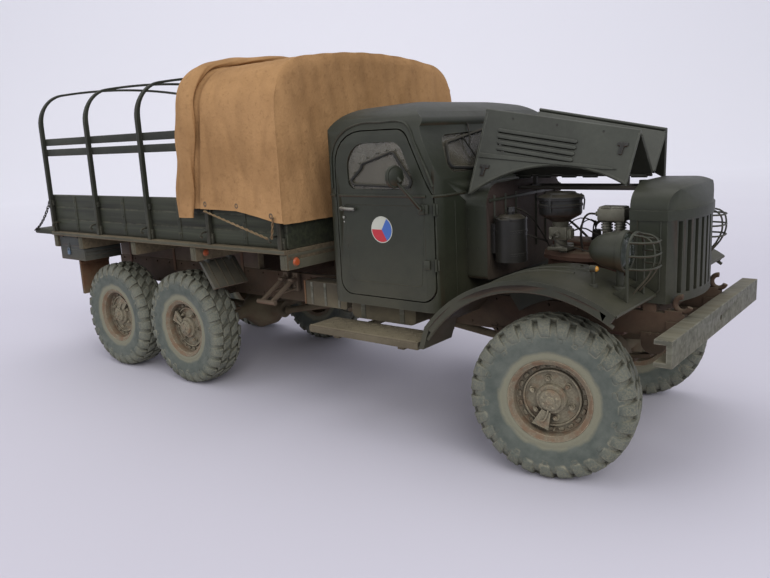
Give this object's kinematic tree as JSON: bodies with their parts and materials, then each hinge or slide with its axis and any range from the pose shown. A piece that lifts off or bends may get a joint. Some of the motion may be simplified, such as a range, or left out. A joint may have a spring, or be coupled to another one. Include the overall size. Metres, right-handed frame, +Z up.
{
  "type": "cargo truck scale model",
  "caption": "Scale model of a bonneted military cargo truck with six driven wheels, raised bonnet halves, hooped load bed, canvas cover rolled part way back and lowered tailgate",
  "frame": {"origin": "centre of the bounding box, at ground level under the tyres", "axes": "+X points forward to the bumper, +Y to the truck's left, +Z up"},
  "size_m": [0.1966, 0.071, 0.0848],
  "materials": {
    "rust_brown": "matt red-brown rust paint",
    "faded_grey": "matt faded grey",
    "dark_metal_paint": "matt grimy brown-grey",
    "black": "satin black",
    "olive": "satin dark olive, dusty and chipped",
    "seat_green": "matt",
    "clear": "clear plastic pane",
    "dusty_olive": "matt, thick with dust",
    "board_olive": "painted boards with worn edges",
    "canvas": "tan cloth cover",
    "cord": "brown twisted cord",
    "tyre": "dusty blue-grey",
    "dusty_rim": "dust over rust"
  },
  "bodies": {
    "truck": {"chassis_frame": "rust_brown", "bumper": "faded_grey", "leaf_springs": "rust_brown", "front_axle": "rust_brown", "rear_axles": "rust_brown", "driveline": "dark_metal_paint", "engine": "rust_brown", "air_cleaner": "black", "radiator": "olive", "radiator_shell": "olive", "cab_shell": "olive", "cab_interior": "seat_green", "steering_wheel": "black", "cab_glass": "clear", "wings": "olive", "running_boards": "dusty_olive", "headlamps": "olive", "side_tanks": "dusty_olive", "spare_carrier": "rust_brown", "rear_boxes": "olive", "bed_floor": "board_olive", "bed_boards": "board_olive", "hoops": "olive", "cover": "canvas", "cover_ropes": "cord", "tailgate_chains": "dark_metal_paint"},
    "door_right_body": {"door_right": "olive", "door_glass_right": "clear"},
    "door_left_body": {"door_left": "olive", "door_glass_left": "clear"},
    "tailgate_body": {"tailgate": "board_olive"},
    "bonnet_top_right_body": {"bonnet_top_right": "olive"},
    "bonnet_top_left_body": {"bonnet_top_left": "olive"},
    "bonnet_side_right_body": {"bonnet_side_right": "olive"},
    "bonnet_side_left_body": {"bonnet_side_left": "olive"},
    "knuckle_right_body": {"knuckle_right": "rust_brown"},
    "knuckle_left_body": {"knuckle_left": "rust_brown"},
    "wheel_front_right_body": {"tyre_front_right": "tyre", "wheel_front_right": "dusty_rim"},
    "wheel_front_left_body": {"tyre_front_left": "tyre", "wheel_front_left": "dusty_rim"},
    "wheel_middle_right_body": {"tyre_middle_right": "tyre", "wheel_middle_right": "dusty_rim"},
    "wheel_middle_left_body": {"tyre_middle_left": "tyre", "wheel_middle_left": "dusty_rim"},
    "wheel_rear_right_body": {"tyre_rear_right": "tyre", "wheel_rear_right": "dusty_rim"},
    "wheel_rear_left_body": {"tyre_rear_left": "tyre", "wheel_rear_left": "dusty_rim"}
  },
  "joints": [
    {"name": "steer_right", "type": "hinge", "parent": "truck", "child": "knuckle_right_body", "pos_m": [0.075, -0.0188, 0.0153], "axis": [0, 0, 1], "range_deg": [-40.6, 15.4]},
    {"name": "steer_left", "type": "hinge", "parent": "truck", "child": "knuckle_left_body", "pos_m": [0.075, 0.0188, 0.0153], "axis": [0, 0, 1], "range_deg": [-40.6, 15.4]},
    {"name": "spin_front_right", "type": "hinge", "parent": "knuckle_right_body", "child": "wheel_front_right_body", "pos_m": [0.07642, -0.02514, 0.0153], "axis": [-0.2181, 0.9759, 0], "continuous": true},
    {"name": "spin_front_left", "type": "hinge", "parent": "knuckle_left_body", "child": "wheel_front_left_body", "pos_m": [0.07358, 0.02514, 0.0153], "axis": [-0.2181, 0.9759, 0], "continuous": true},
    {"name": "spin_middle_right", "type": "hinge", "parent": "truck", "child": "wheel_middle_right_body", "pos_m": [-0.0296, -0.0253, 0.0153], "axis": [0, 1, 0], "continuous": true},
    {"name": "spin_middle_left", "type": "hinge", "parent": "truck", "child": "wheel_middle_left_body", "pos_m": [-0.0296, 0.0253, 0.0153], "axis": [0, 1, 0], "continuous": true},
    {"name": "spin_rear_right", "type": "hinge", "parent": "truck", "child": "wheel_rear_right_body", "pos_m": [-0.0616, -0.0253, 0.0153], "axis": [0, 1, 0], "continuous": true},
    {"name": "spin_rear_left", "type": "hinge", "parent": "truck", "child": "wheel_rear_left_body", "pos_m": [-0.0616, 0.0253, 0.0153], "axis": [0, 1, 0], "continuous": true},
    {"name": "door_right_hinge", "type": "hinge", "parent": "truck", "child": "door_right_body", "pos_m": [0.05175, -0.0266, 0.045], "axis": [0, 0, 1], "range_deg": [0, 70]},
    {"name": "door_left_hinge", "type": "hinge", "parent": "truck", "child": "door_left_body", "pos_m": [0.05175, 0.0266, 0.045], "axis": [0, 0, 1], "range_deg": [-70, 0]},
    {"name": "bonnet_right_hinge", "type": "hinge", "parent": "truck", "child": "bonnet_top_right_body", "pos_m": [0.07, 0, 0.0536], "axis": [1, 0, 0], "range_deg": [0, 50]},
    {"name": "bonnet_left_hinge", "type": "hinge", "parent": "truck", "child": "bonnet_top_left_body", "pos_m": [0.07, 0, 0.0536], "axis": [1, 0, 0], "range_deg": [-50, 0]},
    {"name": "bonnet_right_fold", "type": "hinge", "parent": "bonnet_top_right_body", "child": "bonnet_side_right_body", "pos_m": [0.07005, -0.00932, 0.06471], "axis": [0.9719, 0.1514, -0.1805], "range_deg": [-31, 0]},
    {"name": "bonnet_left_fold", "type": "hinge", "parent": "bonnet_top_left_body", "child": "bonnet_side_left_body", "pos_m": [0.07005, 0.00932, 0.06471], "axis": [0.9719, -0.1514, -0.1805], "range_deg": [0, 31]},
    {"name": "tailgate_hinge", "type": "hinge", "parent": "truck", "child": "tailgate_body", "pos_m": [-0.0863, 0, 0.0393], "axis": [0, 1, 0], "range_deg": [0, 90]}
  ],
  "couplings": [
    {"joint": "steer_left", "follows": "steer_right", "ratio": 1},
    {"joint": "bonnet_right_fold", "follows": "bonnet_right_hinge", "ratio": -0.614},
    {"joint": "bonnet_left_fold", "follows": "bonnet_left_hinge", "ratio": -0.614}
  ]
}
